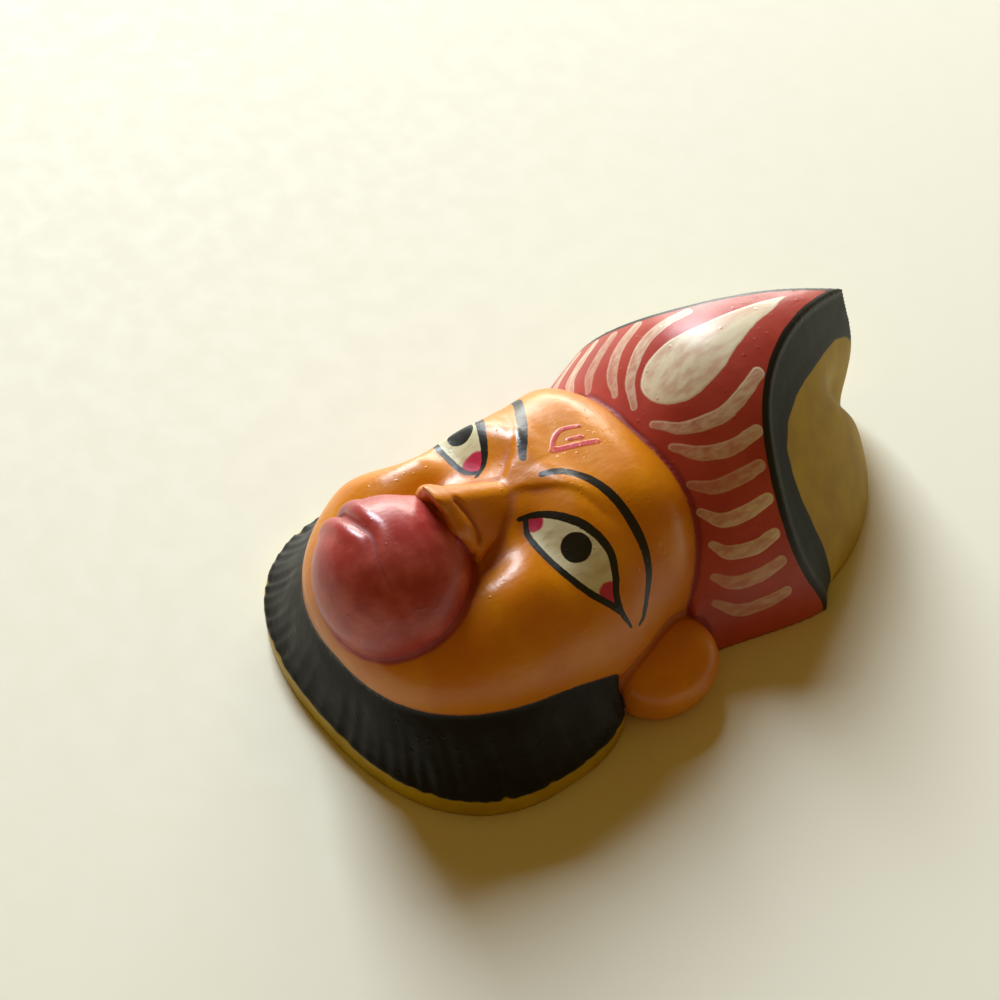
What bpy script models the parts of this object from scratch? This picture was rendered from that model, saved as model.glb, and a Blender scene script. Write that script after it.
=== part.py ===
"""Carved and painted wooden mask of a monkey-faced deity, lying on its back.

Metres, +Z up out of the face, +Y towards the crown, X across. The origin is on the flat back, under the
middle. The wood is one piece: its forms are modelled one by one, joined, cut flat behind and hollowed.
"""

import math

import bmesh
import bpy

# Face
FACE_HALF_WIDTH = 0.0435
FACE_TEMPLE_WIDTH = 0.0410
FACE_MIDDLE_Y = -0.0240
FACE_CHIN = 0.0600
FACE_FOREHEAD = 0.0415
FACE_CROWN_Y = -0.0280
FACE_EDGE_Z = 0.0245
FACE_TEMPLE_Z = 0.0130
FACE_CHIN_TOP = 0.0470
FACE_BROW_TOP = 0.0525
FACE_HAIR_DROP = 0.0040
FACE_STEP = 0.0010
FACE_ROUNDNESS = 2.5

# How full the dome is towards the jaw and towards the crown
JAW_FULLNESS = (2.6, 0.42)
CROWN_FULLNESS = (4.8, 0.34)

# Places along the face
JAW_Y = -0.0500
TEMPLE_Y = -0.0070
BROW_Y = -0.0140
FOREHEAD_Y = -0.0040
FOREHEAD_END_Y = 0.0222

# Swellings and hollows of the face: height, place across and along, half width and half length
BROW_RIDGE = (0.0022, 0.0130, -0.0210, 0.0120, 0.0050)
EYE_SOCKET = (-0.0030, 0.0210, -0.0330, 0.0110, 0.0060)
CHEEK = (0.0030, 0.0270, -0.0520, 0.0110, 0.0130)
NOSE_SIDE = (-0.0025, 0.0130, -0.0460, 0.0050, 0.0100)
NOSE_BRIDGE = (0.0015, 0.0000, -0.0270, 0.0060, 0.0080)

# Beard, a band that flares out round the jaw by these distances
BEARD_SIDE_FLARE = 0.0095
BEARD_CHIN_FLARE = 0.0071
BEARD_MIDDLE_Y = -0.0506
BEARD_UPPER = 0.0380
BEARD_END_Y = -0.0300
BEARD_EDGE_Z = 0.0070
BEARD_ROUNDNESS = 2.45
GROOVE_DEPTH = 0.0007
GROOVE_COUNT = 44

# Muzzle and mouth
MUZZLE_Y = -0.0662
MUZZLE_Z = 0.0420
MUZZLE_HALF_WIDTH = 0.0210
MUZZLE_HALF_LENGTH = 0.0195
MUZZLE_HALF_DEPTH = 0.0205
MOUTH_Y = -0.0720
MOUTH_CURL = 0.0050
MOUTH_WIDTH = 0.0018
MOUTH_DEPTH = 0.0010

# Nose, a wedge
NOSE_ROOT_Y = -0.0300
NOSE_ROOT_Z = 0.0510
NOSE_TIP_Y = -0.0550
NOSE_TIP_Z = 0.0666
NOSE_ROOT_HALF_WIDTH = 0.0045
NOSE_HALF_WIDTH = 0.0120
NOSE_FOOT_ROOT_Z = 0.0470
NOSE_FOOT_TIP_Z = 0.0500
NOSE_SHOULDER_ROOT_Z = 0.0495
NOSE_SHOULDER_TIP_Z = 0.0560
NOSE_WING_BACK = 0.0060
NOSE_BURIED_Z = 0.0400

# Ears
EAR_OUT = 0.0435
EAR_Y = -0.0140
EAR_Z = 0.0080
EAR_HALF_WIDTH = 0.0124
EAR_HALF_LENGTH = 0.0155
EAR_HALF_DEPTH = 0.0125

# Crown
CROWN_HALF_WIDTH = 0.0522
CROWN_NECK_WIDTH = 0.0430
CROWN_HEIGHT = 0.0491
CROWN_SWELL = 0.0122
CROWN_NECK_DROP = 0.0088
CROWN_LEAN = 0.0014
CROWN_WAIST_Y = -0.0060
CROWN_WIDE_Y = 0.0400
CROWN_NECK_Y = 0.0020
CROWN_FULL_Y = 0.0360
CROWN_ARCH = 1.76
HAIRLINE_Y = 0.0105
HAIRLINE_DIP = 0.0125

# Rim of the crown: an ogee with a drawn-out point and flared corners
RIM_SHOULDER_Y = 0.0269
RIM_TIP_Y = 0.0854
RIM_POINT = 0.0123
RIM_SHARPNESS = 1.05
RIM_FLARE = 0.0098
RIM_FLARE_POWER = 12.5

# The crown's end, which slopes from the rim down to the back
END_HALF_WIDTH = 0.0470
END_MIDDLE_Y = 0.0350
END_TIP_Y = 0.0877
END_BULGE = 0.0015
KEEL_REACH = 0.0010
KEEL_BULGE = 0.0040
KEEL_WIDTH = 0.0060
END_ROUNDNESS = 1.9

# Hollow behind
WALL = 0.0090

# How far each form runs below the back plane before it is cut flat
FACE_SKIRT = 0.0040
BEARD_SKIRT = 0.0055
CROWN_SKIRT = 0.0070
HOLLOW_SKIRT = 0.0090
HOLLOW_LIFT = 0.0010
TINY = 0.00001

# Fineness of the meshes
FACE_TURNS = 56
FACE_RINGS = 11
CROWN_TURNS = 44
CROWN_ROWS = 12
END_ROWS = 8
NOSE_ROWS = 7
GROOVE_POINTS = 4
HOLLOW_TURNS = 22
HOLLOW_ROWS = 12


def smooth(low, high, value):
    """0 below low, 1 above high and an even curve between."""
    t = min(1.0, max(0.0, (value - low) / (high - low)))
    return t * t * (3 - 2 * t)


def mix(a, b, t):
    return a + (b - a) * t


def power(value, exponent):
    return math.copysign(abs(value) ** exponent, value)


def swelling(x, y, form):
    """Height at a plan point of one of the face's swellings, which is the same on both sides."""
    height, at_x, at_y, width, length = form
    return height * math.exp(-(((abs(x) - at_x) / width) ** 2) - ((y - at_y) / length) ** 2)


def finished(name, form):
    mesh = bpy.data.meshes.new(name)
    form.to_mesh(mesh)
    form.free()
    made = bpy.data.objects.new(name, mesh)
    forms.objects.link(made)
    made.hide_render = True
    made.display_type = "WIRE"
    return made


def solid(name, rings):
    """A closed object through rings of as many points each, with a flat face on the first and the last."""
    form = bmesh.new()
    rows = [[form.verts.new(point) for point in ring] for ring in rings]
    for lower, upper in zip(rows, rows[1:]):
        for i in range(len(lower)):
            j = (i + 1) % len(lower)
            form.faces.new((lower[i], lower[j], upper[j], upper[i]))
    form.faces.new(rows[0][::-1])
    form.faces.new(rows[-1])
    bmesh.ops.recalc_face_normals(form, faces=form.faces)
    return finished(name, form)


def ball(name, at, radii, segments, rings):
    """A squashed sphere."""
    form = bmesh.new()
    bmesh.ops.create_uvsphere(form, u_segments=segments, v_segments=rings, radius=1)
    for vert in form.verts:
        vert.co = [at[k] + radii[k] * vert.co[k] for k in range(3)]
    return finished(name, form)


def face_half_width(y):
    """Half the face's width in plan, narrower at the temples than at the jaw."""
    if y < FACE_MIDDLE_Y:
        share = min(1.0, (FACE_MIDDLE_Y - y) / FACE_CHIN)
        return FACE_HALF_WIDTH * (1 - share**FACE_ROUNDNESS) ** (1 / FACE_ROUNDNESS)
    return mix(FACE_HALF_WIDTH, FACE_TEMPLE_WIDTH, smooth(FACE_MIDDLE_Y, TEMPLE_Y, y))


def face_edge(turn):
    """Plan point of the face's edge, a turn of 0 on the near side and 0.25 at the chin."""
    angle = 2 * math.pi * turn
    across = power(math.cos(angle), 2 / FACE_ROUNDNESS)
    along = power(math.sin(angle), 2 / FACE_ROUNDNESS)
    if along > 0:
        return FACE_HALF_WIDTH * across, FACE_MIDDLE_Y - FACE_CHIN * along
    y = FACE_MIDDLE_Y - FACE_FOREHEAD * along
    waist = mix(1, FACE_TEMPLE_WIDTH / FACE_HALF_WIDTH, smooth(FACE_MIDDLE_Y, TEMPLE_Y, y))
    return FACE_HALF_WIDTH * waist * across, y


def edge_height(y):
    return mix(FACE_EDGE_Z, FACE_TEMPLE_Z, smooth(JAW_Y, TEMPLE_Y, y))


def face_top(y):
    """Height of the face's middle line, without the nose and the muzzle."""
    brow = mix(FACE_CHIN_TOP, FACE_BROW_TOP, smooth(MUZZLE_Y, BROW_Y, y))
    return brow - FACE_HAIR_DROP * smooth(FOREHEAD_Y, FOREHEAD_END_Y, y)


def face_relief(x, y):
    """What the carver cut into the dome."""
    carved = (BROW_RIDGE, EYE_SOCKET, CHEEK, NOSE_SIDE, NOSE_BRIDGE)
    return sum(swelling(x, y, form) for form in carved)


def face():
    """The dome of the face, standing on a skirt that the beard and the ears cover."""
    outline = [face_edge(i / FACE_TURNS) for i in range(FACE_TURNS)]
    rings = [[(x, y, -FACE_SKIRT) for x, y in outline]]
    for k in range(FACE_RINGS):
        share = math.cos(math.pi / 2 * k / FACE_RINGS)
        ring = []
        for x, y in outline:
            toward = smooth(TEMPLE_Y, FACE_MIDDLE_Y + FACE_FOREHEAD, y)
            spread, height = (mix(a, b, toward) for a, b in zip(JAW_FULLNESS, CROWN_FULLNESS))
            rise = (1 - share**spread) ** height
            px = x * share
            py = mix(FACE_CROWN_Y, y, share)
            low = edge_height(y)
            ring.append((px, py, low + (face_top(py) - low) * rise + face_relief(px, py) * min(1, 2 * rise)))
        rings.append(ring)
    return solid("face_form", rings)


def beard_edge(share):
    """Plan point of the beard's outer edge, from its near end round the chin to its far end."""
    start = math.asin(((BEARD_END_Y - BEARD_MIDDLE_Y) / BEARD_UPPER) ** (BEARD_ROUNDNESS / 2))
    angle = mix(-start, math.pi + start, share)
    along = power(math.sin(angle), 2 / BEARD_ROUNDNESS)
    half_width = FACE_HALF_WIDTH + BEARD_SIDE_FLARE
    chin = BEARD_MIDDLE_Y - FACE_MIDDLE_Y + FACE_CHIN + BEARD_CHIN_FLARE
    reach = chin if along > 0 else BEARD_UPPER
    return half_width * power(math.cos(angle), 2 / BEARD_ROUNDNESS), BEARD_MIDDLE_Y - reach * along


def beard_root(share):
    """Plan point where the beard meets the face, opposite the same share of its outer edge."""
    start = math.asin(((FACE_MIDDLE_Y - BEARD_END_Y) / FACE_CHIN) ** (FACE_ROUNDNESS / 2))
    turn = mix(start, math.pi - start, share) / (2 * math.pi)
    return face_edge(turn)


def beard():
    """A band that flares out round the jaw, with gouge cuts running down its outer half."""
    count = GROOVE_COUNT * GROOVE_POINTS
    profile = [(0.03, None), (0.0, 0.0), (0.15, 0.09), (0.35, 0.28), (0.55, 0.5), (0.78, 0.77), (0.99, 1.0)]
    profile.append((1.25, 1.0))
    rings = []
    for inward, rise in profile:
        ring = []
        for i in range(count + 1):
            share = i / count
            outer = beard_edge(share)
            root = beard_root(share)
            x = mix(outer[0], root[0], inward)
            y = mix(outer[1], root[1], inward)
            if rise is None:
                ring.append((x, y, -BEARD_SKIRT))
                continue
            z = mix(BEARD_EDGE_Z, edge_height(root[1]) - FACE_STEP, rise)
            cut = 0.5 - 0.5 * math.cos(2 * math.pi * i / GROOVE_POINTS)
            ring.append((x, y, z - cut * smooth(0.85, 0.5, inward) * GROOVE_DEPTH))
        rings.append(ring)
    return solid("beard_form", rings)


def muzzle():
    """The ball of the muzzle, with a shallow cut across it for the closed mouth."""
    at = (0, MUZZLE_Y, MUZZLE_Z)
    made = ball("muzzle_form", at, (MUZZLE_HALF_WIDTH, MUZZLE_HALF_LENGTH, MUZZLE_HALF_DEPTH), 32, 22)
    for vert in made.data.vertices:
        line = MOUTH_Y + MOUTH_CURL * (vert.co.x / MUZZLE_HALF_WIDTH) ** 2
        cut = math.exp(-(((vert.co.y - line) / MOUTH_WIDTH) ** 2))
        vert.co.z -= MOUTH_DEPTH * cut * smooth(-0.2, 0.3, (vert.co.z - MUZZLE_Z) / MUZZLE_HALF_DEPTH)
    return made


def nose():
    """A wedge from between the brows to a blunt tip over the muzzle, flat below."""
    rings = []
    for k in range(NOSE_ROWS):
        t = k / (NOSE_ROWS - 1)
        y = mix(NOSE_ROOT_Y, NOSE_TIP_Y, t)
        top = mix(NOSE_ROOT_Z, NOSE_TIP_Z, t)
        foot = mix(NOSE_FOOT_ROOT_Z, NOSE_FOOT_TIP_Z, t)
        shoulder = mix(NOSE_SHOULDER_ROOT_Z, NOSE_SHOULDER_TIP_Z, t)
        half = mix(NOSE_ROOT_HALF_WIDTH, NOSE_HALF_WIDTH, t**0.8)
        back = NOSE_WING_BACK * t
        side = [
            (half, y + back, NOSE_BURIED_Z),
            (half, y + back, foot),
            (0.75 * half, y + 0.7 * back, shoulder),
            (0.25 * half, y, top),
        ]
        rings.append(side + [(-across, along, up) for across, along, up in reversed(side)])
    return solid("nose_form", rings)


def lean(y):
    """How far the crown's middle line has wandered to the far side."""
    return -CROWN_LEAN * smooth(HAIRLINE_Y, RIM_TIP_Y, y)


def crown_half_width(y):
    return mix(CROWN_NECK_WIDTH, CROWN_HALF_WIDTH, smooth(CROWN_WAIST_Y, CROWN_WIDE_Y, y))


def crown_height(y):
    """Height of the crown's middle line: low behind the forehead, swelling, and lower again at the point."""
    start = CROWN_NECK_Y
    swell = math.sin(math.pi * min(1, max(0, (y - start) / (RIM_TIP_Y - start))))
    return CROWN_HEIGHT + CROWN_SWELL * swell - CROWN_NECK_DROP * (1 - smooth(start, CROWN_FULL_Y, y))


def crown_section(turn, y):
    """Point of the crown's arch, a turn of 0 on the near side at the back and 0.5 over the middle."""
    angle = math.pi * turn
    x = crown_half_width(y) * power(math.cos(angle), 2 / CROWN_ARCH)
    return x, crown_height(y) * math.sin(angle) ** (2 / CROWN_ARCH)


def rim_y(x):
    """Where the crown's front ends, in plan."""
    side = abs(x)
    point = math.exp(-((side / RIM_POINT) ** RIM_SHARPNESS))
    flare = RIM_FLARE * (side / CROWN_HALF_WIDTH) ** RIM_FLARE_POWER
    return RIM_SHOULDER_Y + (RIM_TIP_Y - RIM_SHOULDER_Y) * point + flare


def crown_turns():
    """Turns across the arch, closer together at its middle, where the ogee is sharp."""
    return [0.5 + 0.5 * power(2 * i / CROWN_TURNS - 1, 1.35) for i in range(CROWN_TURNS + 1)]


def rim_point(turn):
    """The point of the ogee on this line of the arch, found by stepping along its own width."""
    y = RIM_SHOULDER_Y
    for _ in range(30):
        y = mix(y, rim_y(crown_section(turn, y)[0]), 0.5)
    x, z = crown_section(turn, y)
    return x, y, z


def end_foot(turn):
    """The point of the crown's rounded end on the back plane, for this line of the arch."""
    even = 2 * turn - 1
    quarter = 1 - abs(even)
    angle = math.pi / 2 * mix(0.06, 1, quarter * mix(0.78, 1, quarter))
    x = END_HALF_WIDTH * math.cos(angle) ** (2 / END_ROUNDNESS)
    y = END_MIDDLE_Y + (END_TIP_Y - END_MIDDLE_Y) * math.sin(angle) ** (2 / END_ROUNDNESS)
    return math.copysign(x, -even), y


def keel(x, drop):
    """How far the end stands out along its middle, at this share of the way down."""
    return math.exp(-((abs(x) / KEEL_WIDTH) ** 1.3)) * (KEEL_REACH * drop + KEEL_BULGE * math.sin(math.pi * drop**1.4))


def crown():
    """The flared crown from the hairline to its ogee rim, and its end sloping down to the back."""
    turns = crown_turns()
    rims = [rim_point(turn) for turn in turns]
    rows = []
    for k in range(CROWN_ROWS + 1):
        row = []
        for turn, rim in zip(turns, rims):
            x = crown_section(turn, CROWN_NECK_Y)[0]
            y = mix(HAIRLINE_Y - HAIRLINE_DIP * (x / CROWN_NECK_WIDTH) ** 2, rim[1], k / CROWN_ROWS)
            x, z = crown_section(turn, y)
            row.append((x + lean(y), y, z))
        rows.append(row)
    for k in range(1, END_ROWS + 1):
        drop = k / END_ROWS
        row = []
        for turn, rim in zip(turns, rims):
            foot = end_foot(turn)
            away = math.hypot(foot[0] - rim[0], foot[1] - rim[1])
            bulge = END_BULGE * math.sin(math.pi * drop) * math.sin(math.pi * turn) / away
            reach = 1 - (1 - drop) ** 1.5 + bulge
            x = mix(rim[0], foot[0], reach)
            y = mix(rim[1], foot[1], reach) + keel(x, drop)
            row.append((x + lean(y), y, rim[2] * (1 - drop)))
        rows.append(row)
    rows.insert(0, [(x * 0.93, y - FACE_SKIRT, z * 0.86) for x, y, z in rows[0]])
    form = bmesh.new()
    verts = [[form.verts.new((x, y, z if z > TINY else -CROWN_SKIRT)) for x, y, z in row] for row in rows]
    for lower, upper in zip(verts, verts[1:]):
        for i in range(len(turns) - 1):
            form.faces.new((lower[i], lower[i + 1], upper[i + 1], upper[i]))
    form.faces.new(verts[0])
    form.faces.new([row[0] for row in verts] + verts[-1][1:-1] + [row[-1] for row in reversed(verts)])
    bmesh.ops.recalc_face_normals(form, faces=form.faces)
    return finished("crown_form", form)


def body_section(y):
    """Half width and height of the wood at a place along the mask, for the hollow to keep inside."""
    if y < HAIRLINE_Y:
        return face_half_width(y), mix(face_top(y), edge_height(y), 0.12)
    return crown_half_width(y), crown_height(y)


def hollow():
    """The hollow behind the face, a wall's thickness inside it, open at the back."""
    rings = []
    low = FACE_MIDDLE_Y - FACE_CHIN + WALL
    high = RIM_SHOULDER_Y + WALL
    for k in range(HOLLOW_ROWS + 1):
        across = -math.cos(math.pi * (k + 0.35) / (HOLLOW_ROWS + 0.7))
        y = mix(low, high, 0.5 + 0.5 * across)
        half, height = body_section(y)
        close = (1 - abs(across) ** 2.6) ** 0.45
        wide = 0.88 * (half - WALL) * min(1.0, close * 1.15)
        deep = (height - WALL) * close
        ring = []
        for i in range(HOLLOW_TURNS + 1):
            angle = math.pi * i / HOLLOW_TURNS
            ring.append((wide * power(math.cos(angle), 0.85), y, deep * math.sin(angle) ** 0.95 - HOLLOW_LIFT))
        ring += [(-wide, y, -HOLLOW_SKIRT), (wide, y, -HOLLOW_SKIRT)]
        rings.append(ring)
    return solid("hollow_cutter", rings)


def table():
    """What lies below the back plane, to cut the wood flat."""
    form = bmesh.new()
    bmesh.ops.create_cube(form, size=1)
    half_width = CROWN_HALF_WIDTH + EAR_OUT
    for vert in form.verts:
        vert.co = (vert.co.x * 2 * half_width, vert.co.y * 4 * RIM_TIP_Y, (vert.co.z - 0.5) * CROWN_HEIGHT)
    return finished("back_cutter", form)


def paint():
    """The orange enamel that covers most of the wood."""
    enamel = bpy.data.materials.new("orange_enamel")
    enamel.use_nodes = True
    shader = enamel.node_tree.nodes["Principled BSDF"]
    shader.inputs["Base Color"].default_value = (0.78, 0.30, 0.03, 1)
    shader.inputs["Roughness"].default_value = 0.3
    shader.inputs["Metallic"].default_value = 0.0
    return enamel


def joined(base, others, operation):
    for other in others:
        cut = base.modifiers.new(f"{operation.lower()}_{other.name}", "BOOLEAN")
        cut.operation = operation
        cut.solver = "EXACT"
        cut.object = other


for old in list(bpy.data.objects):
    bpy.data.objects.remove(old, do_unlink=True)
forms = bpy.data.collections.new("forms")
wood = bpy.data.collections.new("hanuman_mask")
bpy.context.scene.collection.children.link(forms)
bpy.context.scene.collection.children.link(wood)

face_form = face()
ear_radii = (EAR_HALF_WIDTH, EAR_HALF_LENGTH, EAR_HALF_DEPTH)
ears = [ball("near_ear_form", (EAR_OUT, EAR_Y, EAR_Z), ear_radii, 20, 12)]
ears.append(ball("far_ear_form", (-EAR_OUT, EAR_Y, EAR_Z), ear_radii, 20, 12))
mask = bpy.data.objects.new("mask", face_form.data.copy())
wood.objects.link(mask)
joined(mask, [crown(), beard(), *ears, muzzle(), nose()], "UNION")
joined(mask, [table(), hollow()], "DIFFERENCE")
mask.data.materials.append(paint())
bpy.data.objects.remove(face_form, do_unlink=True)
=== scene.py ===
"""Looks of the carved and painted wooden mask: its fine surface and enamels, the floor, light and camera."""

import math

import bmesh
import bpy
import numpy as np
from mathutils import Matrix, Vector
from mathutils.bvhtree import BVHTree


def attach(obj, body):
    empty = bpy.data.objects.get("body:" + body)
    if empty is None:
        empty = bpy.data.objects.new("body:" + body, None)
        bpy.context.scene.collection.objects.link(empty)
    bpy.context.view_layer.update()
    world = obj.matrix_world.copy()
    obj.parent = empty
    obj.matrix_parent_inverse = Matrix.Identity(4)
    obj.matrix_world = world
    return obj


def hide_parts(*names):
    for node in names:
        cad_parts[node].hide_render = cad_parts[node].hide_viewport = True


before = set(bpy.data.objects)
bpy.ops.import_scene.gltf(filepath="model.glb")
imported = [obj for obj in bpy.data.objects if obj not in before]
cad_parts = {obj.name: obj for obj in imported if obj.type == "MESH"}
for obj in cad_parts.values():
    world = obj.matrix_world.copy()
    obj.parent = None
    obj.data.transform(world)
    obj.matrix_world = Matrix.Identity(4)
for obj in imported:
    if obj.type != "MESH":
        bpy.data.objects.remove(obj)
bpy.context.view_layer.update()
scene = bpy.context.scene
MM = 0.001

# Face
FACE_HALF_WIDTH = 0.0435
FACE_TEMPLE_WIDTH = 0.0410
FACE_MIDDLE_Y = -0.0240
FACE_CHIN = 0.0600
FACE_FOREHEAD = 0.0415
FACE_CROWN_Y = -0.0280
FACE_EDGE_Z = 0.0245
FACE_TEMPLE_Z = 0.0130
FACE_CHIN_TOP = 0.0470
FACE_BROW_TOP = 0.0525
FACE_HAIR_DROP = 0.0040
FACE_STEP = 0.0010
FACE_ROUNDNESS = 2.5
JAW_FULLNESS = (2.6, 0.42)
CROWN_FULLNESS = (4.8, 0.34)
JAW_Y = -0.0500
TEMPLE_Y = -0.0070
BROW_Y = -0.0140
FOREHEAD_Y = -0.0040
FOREHEAD_END_Y = 0.0222

# Swellings and hollows of the face: height, place across and along, half width and half length
BROW_RIDGE = (0.0022, 0.0130, -0.0210, 0.0120, 0.0050)
EYE_SOCKET = (-0.0030, 0.0210, -0.0330, 0.0110, 0.0060)
CHEEK = (0.0030, 0.0270, -0.0520, 0.0110, 0.0130)
NOSE_SIDE = (-0.0025, 0.0130, -0.0460, 0.0050, 0.0100)
NOSE_BRIDGE = (0.0015, 0.0000, -0.0270, 0.0060, 0.0080)

# Beard
BEARD_SIDE_FLARE = 0.0095
BEARD_CHIN_FLARE = 0.0071
BEARD_MIDDLE_Y = -0.0506
BEARD_UPPER = 0.0380
BEARD_END_Y = -0.0300
BEARD_EDGE_Z = 0.0070
BEARD_ROUNDNESS = 2.45
GROOVE_DEPTH = 0.0007
GROOVE_COUNT = 44

# Muzzle and mouth
MUZZLE_Y = -0.0662
MUZZLE_Z = 0.0420
MUZZLE_HALF_WIDTH = 0.0210
MUZZLE_HALF_LENGTH = 0.0195
MUZZLE_HALF_DEPTH = 0.0205

# Nose
NOSE_ROOT_Y = -0.0300
NOSE_ROOT_Z = 0.0510
NOSE_TIP_Y = -0.0550
NOSE_TIP_Z = 0.0666
NOSE_ROOT_HALF_WIDTH = 0.0045
NOSE_HALF_WIDTH = 0.0120
NOSE_FOOT_ROOT_Z = 0.0470
NOSE_FOOT_TIP_Z = 0.0500
NOSE_SHOULDER_ROOT_Z = 0.0495
NOSE_SHOULDER_TIP_Z = 0.0560
NOSE_WING_BACK = 0.0060
NOSE_BURIED_Z = 0.0400

# Ears
EAR_OUT = 0.0435
EAR_Y = -0.0140
EAR_Z = 0.0080
EAR_HALF_WIDTH = 0.0124
EAR_HALF_LENGTH = 0.0155
EAR_HALF_DEPTH = 0.0125

# Crown, its ogee rim and its end
CROWN_HALF_WIDTH = 0.0522
CROWN_NECK_WIDTH = 0.0430
CROWN_HEIGHT = 0.0491
CROWN_SWELL = 0.0122
CROWN_NECK_DROP = 0.0088
CROWN_LEAN = 0.0014
CROWN_WAIST_Y = -0.0060
CROWN_WIDE_Y = 0.0400
CROWN_NECK_Y = 0.0020
CROWN_FULL_Y = 0.0360
CROWN_ARCH = 1.76
HAIRLINE_Y = 0.0105
HAIRLINE_DIP = 0.0125
RIM_SHOULDER_Y = 0.0269
RIM_TIP_Y = 0.0854
RIM_POINT = 0.0123
RIM_SHARPNESS = 1.05
RIM_FLARE = 0.0098
RIM_FLARE_POWER = 12.5
END_HALF_WIDTH = 0.0470
END_MIDDLE_Y = 0.0350
END_TIP_Y = 0.0877
END_BULGE = 0.0015
KEEL_REACH = 0.0010
KEEL_BULGE = 0.0040
KEEL_WIDTH = 0.0060
END_ROUNDNESS = 1.9

# Hollow, skirts and fineness
WALL = 0.0090
FACE_SKIRT = 0.0040
BEARD_SKIRT = 0.0055
CROWN_SKIRT = 0.0070
HOLLOW_SKIRT = 0.0090
HOLLOW_LIFT = 0.0010
TINY = 0.00001
FACE_TURNS = 144
FACE_RINGS = 40
CROWN_TURNS = 110
CROWN_ROWS = 34
END_ROWS = 24
NOSE_ROWS = 20
GROOVE_POINTS = 8
HOLLOW_TURNS = 48
HOLLOW_ROWS = 30
GRAIN = 0.0006
SANDING_ROUNDS = 6
SANDING = 0.6
SANDING_BACK = -0.53
SEAM_ROUNDS = 4
NOSE_SANDING_ROUNDS = 12
NOSE_SANDING = 0.7
NOSE_SANDED_NEAR = (2.2, 0.4)
NOSE_SANDED_Z = (0.0465, 0.0500)
RIM_STEPS = 180
CAVITY_ROUNDS = 14
CAVITY_SCALE = 6

# Painted marks of the face, in millimetres across and along, and their half thicknesses
BROW = [
    (3.9, -23.1), (6.4, -18.1), (10.9, -14.4), (16.0, -12.5), (20.0, -11.7), (24.2, -11.3),
    (28.4, -11.2), (31.8, -11.7), (35.1, -13.3), (38.1, -16.1), (40.5, -18.9), (41.5, -21.1),
]
BROW_HALF = [0.9, 1.3, 1.35, 1.3, 1.25, 1.3, 1.35, 1.3, 1.15, 0.95, 0.75, 0.4]
FAR_BROW = [
    (-3.2, -23.6), (-7.5, -20.3), (-12.3, -16.6), (-17.5, -13.2), (-23.0, -9.9), (-28.0, -8.5),
    (-33.0, -10.5),
]
FAR_BROW_HALF = [0.9, 1.3, 1.4, 1.4, 1.35, 1.2, 0.5]
UPPER_LID = [
    (8.8, -34.1), (10.3, -30.6), (13.5, -27.5), (18.6, -24.4), (22.4, -22.6), (26.2, -21.3),
    (29.5, -21.1), (33.5, -22.7), (36.9, -24.8), (39.6, -25.0), (41.5, -23.6),
]
UPPER_HALF = [0.6, 0.8, 1.0, 1.15, 1.2, 1.2, 1.15, 1.05, 0.95, 0.8, 0.4]
UPPER_OVER_EYE = 9
LOWER_LID = [
    (10.0, -33.0), (13.0, -34.6), (18.4, -34.9), (24.0, -34.4), (28.8, -33.2), (32.6, -31.6),
    (35.6, -29.4), (39.0, -25.6),
]
LOWER_HALF = [0.6, 0.75, 0.85, 0.9, 0.9, 0.9, 0.9, 0.9]
PUPIL = (23.4, -27.7)
PUPIL_HALF = 3.9
INNER_CORNER = (11.6, -31.6)
INNER_ROSE_HALF = (2.4, 4.2)
OUTER_CORNER = (35.8, -26.2)
OUTER_ROSE_HALF = 3.0
TILAK = [
    ([(-1.2, -15.8), (-0.4, -12.5), (1.0, -8.0), (2.4, -4.2)], 0.85),
    ([(-1.2, -15.8), (-4.2, -12.9), (-5.8, -9.7), (-5.3, -7.0), (-4.3, -4.5)], 0.6),
    ([(-2.1, -9.8), (-1.6, -8.2), (-1.0, -6.4)], 0.6),
]
MUZZLE_RED_REACH = 1.2
MUZZLE_RED_FADE = 20
NOSE_BARE = 0.6
NOSE_BARE_FADE = 3
CROWN_RED_OVERLAP = 0.45
BEARD_BLACK_OVERLAP = 0.8
BEARD_YELLOW_EDGE = 0.6
PLAN_MARKS_Z = 30
NOT_THERE = -9.0
OUTSIDE = -1e3
STROKE_MARGIN = 6

# The gouge's and knife's work, in millimetres: lines in plan, with their depths and half widths
MOUTH = [
    (-20.0, -70.2), (-16.0, -70.0), (-11.3, -71.0), (-5.0, -71.2), (-1.2, -71.0), (2.8, -72.5),
    (7.5, -74.0), (11.6, -74.5), (15.5, -74.2), (18.3, -73.0),
]
MOUTH_DEPTH = [1.8, 1.6, 1.2, 0.85, 0.7, 0.6, 0.5, 0.4, 0.25, 0.05]
MOUTH_HALF = 1.6
MOUTH_NARROWING = 0.25
LIP_SHARE = 0.55
LIP_AWAY = 3.6
LIP_HALF = 2.2
BROW_CUT = [
    (1.5, -30.9), (4.2, -27.6), (7.6, -23.4), (11.2, -20.0), (15.0, -17.4), (20.0, -16.0), (26.0, -16.0),
]
BROW_STEP = 0.26
BROW_STEP_HALF = 4.2
BROW_STEP_TURN = 0.8
BROW_INNER_FADE = (0.5, 4)
BROW_OUTER_FADE = (24, 12)
WING_CUT = [(3.2, -48.6, 61.9), (6.6, -47.0, 57.4), (9.2, -46.4, 52.8), (10.6, -49.6, 48.5)]
WING_DEPTH = 0.9
WING_HALF = 1.0

# Round swellings and dents on both sides, in millimetres: height, radius and place
NOSE_BULB = (1.3, 3.8, (6.6, -51.4, 56.0))
EYE_CORNER = (-0.9, 4.0, (11.0, -33.4, 46.5))

# The swell of the eyes in millimetres: height, place across and along, half width and half length
EYE_SWELL = (0.7, 22.0, -28.3, 10.5, 5.6)

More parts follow.
